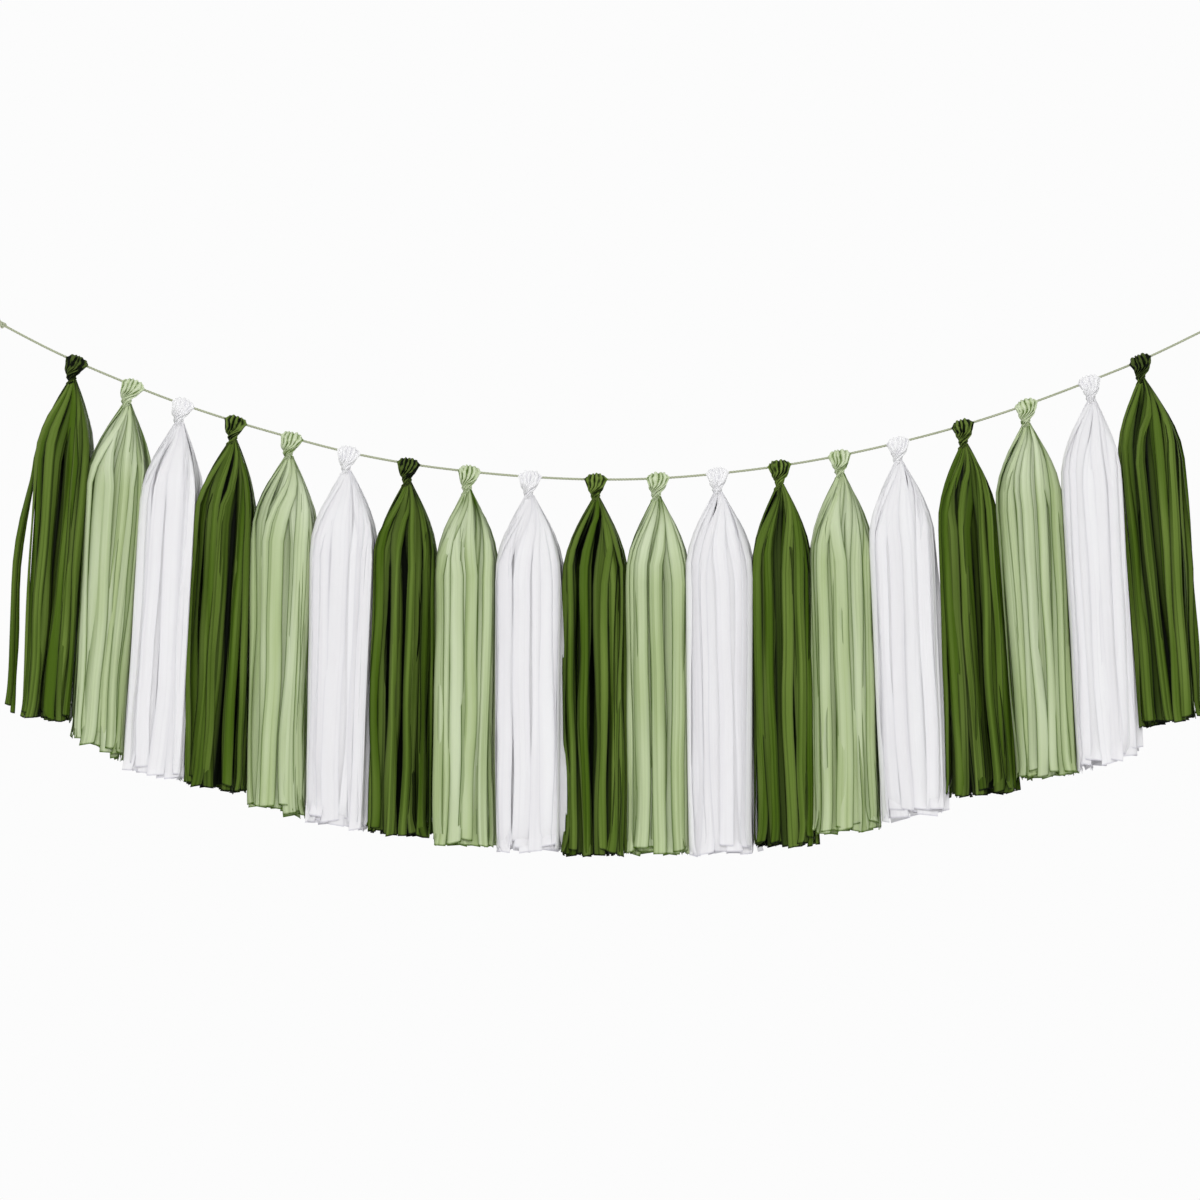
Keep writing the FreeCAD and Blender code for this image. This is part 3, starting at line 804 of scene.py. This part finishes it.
    # map the paper in real size, tint each strip and paint light and shade on it, move it to its
    # place and give it a thickness
    mapU = add(timesPlus, [number, sizes["mapStep"], tangent])
    mapping = add("ShaderNodeCombineXYZ", [mapU, drop, 0.0])
    mapped = add(store, [loose, None, "UVMap", mapping], data_type="FLOAT2", domain="CORNER")
    # painted light: the paper is drawn palest over the shoulder, where it faces the light; the dark
    # green is drawn darker there, as painted shade
    shoulderLightMask = add(times, [closed, opened])
    tintAndShoulderLight = add(timesPlus, [shoulderLightMask, given["Shoulder Tint"], chance["tint"]])
    tinted = add(store, [mapped, None, "tint", tintAndShoulderLight])
    # just below the neck two strips in five get painted shade, as if pressed in deep between their
    # neighbours; they are not moved
    tight = add(power, [closed, sizes["tightness"]])
    valleyShadeMask = add(times, [chance["deep"], tight], use_clamp=True)
    # the painted shade at their edges is wider, and the painted edge shade of the others is paler
    rimPower = add(timesPlus, [valleyShadeMask, *sizes["rims"]])
    unshadedStrips = add(minus, [1.0, valleyShadeMask])
    lit = add(times, [add(power, [closed, 2.0]), unshadedStrips])
    paler = add(timesPlus, [lit, sizes["unshadedEdgesPaler"], 1.0])
    edged = add(times, [add(power, [edge, rimPower]), paler])
    # painted shade on the strips at the two sides of the neck, which are seen edge on
    endOn = add(power, [add(maths + " ABSOLUTE", [plan[0]]), sizes["endOn"]])
    besides = add(times, [endOn, closed])
    rim = add(times, [add(maths + " MAXIMUM", [edged, besides]), given["Edge Shade"]])
    # painted shade on the inner rings, stronger near the neck
    deeper = add(timesPlus, [closed, sizes["neckDeeper"], 1.0])
    layer = add(times, [add(minus, [1.0, share]), deeper])
    # right at the neck every layer comes to the surface, so the inner rings' painted shade is
    # weaker there
    hidden = add(mapRange, [opening, *sizes["surface"]])
    shadow = add(times, [hidden, given["Layer Shade"]])
    paintedCreaseShade = add(times, [valleyShadeMask, tight])
    valley = add(times, [paintedCreaseShade, add(times, [given["Edge Shade"], sizes["valleyShade"]])])
    inside = add(timesPlus, [layer, shadow, valley])
    # all of this is painted shade, stored on the mesh for the paper to darken towards its deep
    # colour
    shaded = add(plus, [rim, inside], use_clamp=True)
    packed = add(store, [tinted, None, "dense", shaded])
    hem = add(timesPlus, [toEnd, -1 / sizes["hemShade"], 1.0])  # 1 at the cut end
    hemmed = add(store, [packed, None, "hem", hem])
    hung = add("GeometryNodeSetPosition", [hemmed, None, settled])
    thick = tasselSizes["paper"]
    outer = add("GeometryNodeExtrudeMesh", [hung, None, None, thick, False], mode="FACES")
    inner = add("GeometryNodeFlipFaces", [hung])
    layers = add("GeometryNodeJoinGeometry")
    for layer in (inner, outer):
        tree.links.new(layer.outputs[0], layers.inputs[0])
    solid = add("GeometryNodeMergeByDistance", {"Geometry": layers, "Distance": sizes["weld"]})
    whole = add("GeometryNodeJoinGeometry")
    for part in (given["Geometry"], solid.outputs[0]):
        tree.links.new(part, whole.inputs[0])
    bare = add("GeometryNodeTransform", {
        "Geometry": whole, "Translation": given["Hang Point"], "Rotation": given["Lean"]})
    for name in ("turn", "share", "strip"):
        bare = add("GeometryNodeRemoveAttribute", [bare, name])
    plain = add("GeometryNodeRealizeInstances", [bare])
    finished = add("GeometryNodeSetMaterial", [plain, None, given["Tissue"]])
    add("NodeGroupOutput", [finished])
    return tree


def hangPoint(corner):
    # where the string passes nearest its route's corner, and its slope there
    nearest = min(range(1, len(stringLine) - 1), key=lambda at: (stringLine[at] - corner).length)
    ahead = stringLine[nearest + 1] - stringLine[nearest - 1]
    return stringLine[nearest], ahead.z / ahead.x


def leaning(place, index, drop):
    # across and up, where a tassel's middle line has come to at this drop
    lean = math.radians(tasselSizes["lean"][index])
    return place.x + drop * math.sin(lean), place.z - drop * math.cos(lean)


def roomBeside(place, index, side, drop):
    # from the tassel's own middle to where it meets its neighbour on that side (0 left, 1 right)
    middle, level = leaning(place, index, drop)
    high, low = tasselSizes["meets"][index + side]
    upper, lower = tasselSizes["meetHeights"]
    share = min(tasselSizes["lowest"], (level - upper) / (lower - upper))
    room = abs(between(high, low, share) / 1000 - middle)
    return room * math.cos(math.radians(tasselSizes["lean"][index])) - tasselSizes["gap"] / 2


def leftEdge(index, level):
    # how far right the straight left side of a tassel is at this height
    place = places[index][0]
    length = tasselSizes["length"] + tasselSizes["longer"][index] / 1000
    edges = []
    for drop, room in ((tasselSizes["shoulderDrop"], tasselSizes["shoulders"][index][0] / 1000),
                       (length, roomBeside(place, index, 0, length))):
        middle, height = leaning(place, index, drop)
        edges.append((middle - room, height))
    (upper, high), (lower, low) = edges
    return between(upper, lower, (level - high) / (low - high))


def shoulderRoom(index):
    # the half widths at the shoulder, the right one no wider than its neighbour leaves
    left, right = (wide / 1000 for wide in tasselSizes["shoulders"][index])
    if index < len(places) - 1:
        middle, level = leaning(places[index][0], index, tasselSizes["shoulderDrop"])
        right = min(right, leftEdge(index + 1, level) - middle + tasselSizes["overlap"])
    return left, right


first = stringSizes["firstTassel"]
places = [hangPoint(corner) for corner in route[first:-first]]
fringe = fringeTree()
sockets = {item.name: item.identifier for item in fringe.interface.items_tree
           if item.in_out == "INPUT"}
for index, (place, slope) in enumerate(places):
    colour = tasselSizes["colours"][index % 3]
    node = "tassel_%02d_%s" % (index + 1, colour)
    length = tasselSizes["length"] + tasselSizes["longer"][index] / 1000
    lean = math.radians(tasselSizes["lean"][index])
    ownSlope = math.tan(math.atan(slope) + lean)
    shift = tasselSizes["neckShift"][index] / 1000
    leftShoulder, rightShoulder = shoulderRoom(index)
    head = gatheredHead(index, ownSlope, shift, colour)
    tassel = newPiece("paper_" + node, head, tissues[colour])
    modifier = tassel.modifiers.new("fringe", "NODES")
    modifier.node_group = fringe
    strayTurn, strayReach = tasselSizes["strays"].get(index, (0, 0.0))
    values = {
        "Hang Point": place, "Lean": (0, -lean, 0), "Length": length,
        "Left Shoulder": leftShoulder, "Left Hem": roomBeside(place, index, 0, length),
        "Right Shoulder": rightShoulder, "Right Hem": roomBeside(place, index, 1, length),
        "Depth": tasselSizes["depth"][colour], "Hem Slant": tasselSizes["hemSlant"][index],
        "Neck Shift": shift,
        "Ring Turn": tasselSizes["ringTurn"] * index + tasselSizes["turnedOn"].get(index, 0.0),
        "Stray Turn": math.radians(strayTurn), "Stray Reach": strayReach,
        "Seed": tasselSizes["firstSeed"] + index, "Tissue": tissues[colour],
        **dict(zip(tasselSizes["stripSockets"], tasselSizes["strips"][colour])),
    }
    for name, value in values.items():
        modifier[sockets[name]] = tuple(value) if isinstance(value, Vector) else value
    bpy.context.view_layer.update()
    evaluated = tassel.evaluated_get(bpy.context.evaluated_depsgraph_get())
    shaped = bpy.data.meshes.new_from_object(evaluated)
    tassel.modifiers.remove(modifier)
    tassel.data = shaped
    shaped.name = tassel.name
    shaped.set_sharp_from_angle(angle=math.radians(tasselSizes["sharpDegrees"]))
    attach(tassel, "root")
    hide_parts(node)
    if index == 0:
        print("first tassel: %d faces" % len(shaped.polygons))
print("tassels hung")


# floor, air and lamps
studioSizes = {
    "floorHeight": -1.45,
    "floorHalf": 6.0,
    "fade": (1.8, 5.0),  # how far out the floor begins and ends its change to the air
    "middle": (0.566, 0.0, -0.25),
    "board": "#f7f7f7",
    "far": "#fcfcfc",  # the air as it is seen, and the floor far off
    "airLight": ("#fbfbfb", 0.60),
}


def seenAlone(add):
    # 1 for what the camera sees, straight, in a gloss or through glass; 0 for light on the object
    rays = add("ShaderNodeLightPath").outputs
    seen = add(maths + " MAXIMUM", [rays["Is Camera Ray"], rays["Is Glossy Ray"]])
    return add(maths + " MAXIMUM", [seen, rays["Is Transmission Ray"]])


middle = Vector(studioSizes["middle"])
under = Vector((middle.x, middle.y, studioSizes["floorHeight"]))
corners = [under + Vector((x, y, 0)) * studioSizes["floorHalf"]
           for x, y in ((-1, -1), (1, -1), (1, 1), (-1, 1))]
floorMesh = bpy.data.meshes.new("studio_floor")
floorMesh.from_pydata(corners, [], [(0, 1, 2, 3)])
# painted board, flat and even with no shine, that pales into the air further out
paint = bpy.data.materials.new("matt_white_studio_paint")
add = clearedNodes(paint)
spot = add("ShaderNodeTexCoord").outputs["Object"]
away = add(vectors + " DISTANCE", [spot, under])
faded = add(mapRange, [away, *studioSizes["fade"], 0.0, 1.0], interpolation_type="SMOOTHSTEP")
plain, white = linearColour(studioSizes["board"]), linearColour(studioSizes["far"])
board = add("ShaderNodeBsdfPrincipled", {"Base Color": plain, "Roughness": 0.95})
farOff = add("ShaderNodeEmission", [white, seenAlone(add)])
add("ShaderNodeOutputMaterial", [add("ShaderNodeMixShader", [faded, board, farOff])])
newPiece("studio_floor", floorMesh, paint)

air = bpy.data.worlds.new("studioAir")
scene.world = air
add = clearedNodes(air)
airColour, airStrength = studioSizes["airLight"]
soft = add("ShaderNodeBackground", [linearColour(airColour), airStrength])
backdrop = add("ShaderNodeBackground", [white, 1.0])
add("ShaderNodeOutputWorld", [add("ShaderNodeMixShader", [seenAlone(add), soft, backdrop])])

lampSizes = {  # place, watts, size in metres
    "key_front": ((0.45, -4.4, 1.3), 102, 1.6),
    "fill_left": ((-1.8, -2.4, 0.2), 6, 2.0),
    "fill_right": ((2.9, -2.4, 0.2), 6, 2.0),
    "top_back": ((0.6, 1.6, 2.6), 18, 1.6),
    "soft_back": ((0.6, 4.6, 0.15), 72, 1.6),
}
for name, (place, watts, size) in lampSizes.items():
    lamp = bpy.data.lights.new(name, "AREA")
    lamp.energy, lamp.size = watts, size
    holder = bpy.data.objects.new(name, lamp)
    holder.location = place
    holder.rotation_euler = (middle - Vector(place)).to_track_quat("-Z", "Y").to_euler()
    scene.collection.objects.link(holder)
scene.view_settings.view_transform = "Standard"
print("floor and lamps set")
